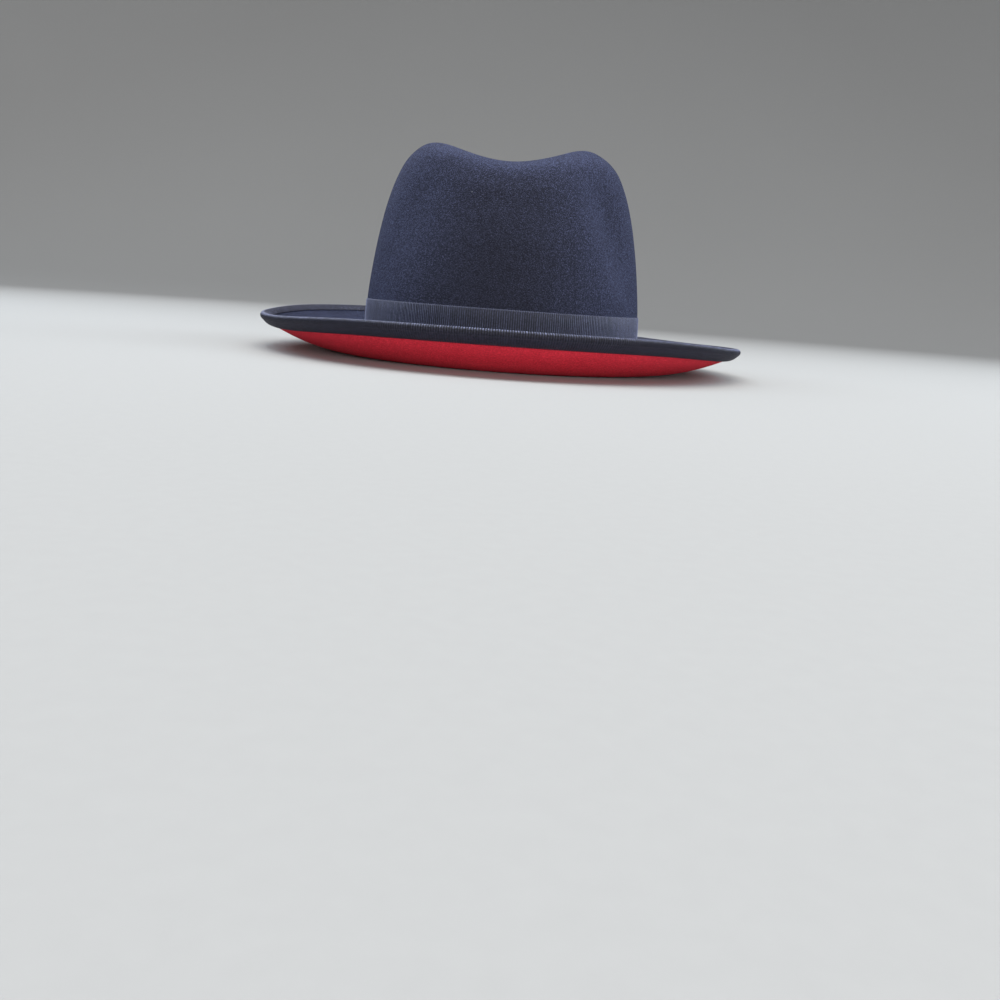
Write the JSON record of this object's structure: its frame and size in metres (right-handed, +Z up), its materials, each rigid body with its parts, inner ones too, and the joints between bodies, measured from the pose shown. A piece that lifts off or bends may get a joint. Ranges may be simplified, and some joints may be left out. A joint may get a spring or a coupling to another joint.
{
  "type": "fedora",
  "caption": "Felt fedora with a creased and pinched crown, an upturned brim with a red underside, a grosgrain band and a grosgrain-bound edge.",
  "frame": {"origin": "centre of the hat's box, on the floor that the brim rests on", "axes": "+Z up through the crown, -Y out of the front of the hat, +X towards the wearer's left"},
  "size_m": [0.2964, 0.3308, 0.1285],
  "materials": {
    "navy_felt": "matt navy wool felt with a short nap",
    "red_felt": "matt red wool felt",
    "binding_ribbon": "navy grosgrain ribbon folded over the edge",
    "band_ribbon": "navy grosgrain ribbon"
  },
  "bodies": {
    "root": {"felt_body": "navy_felt", "underbrim": "red_felt", "brim_binding": "binding_ribbon", "hat_band": "band_ribbon"}
  },
  "joints": []
}
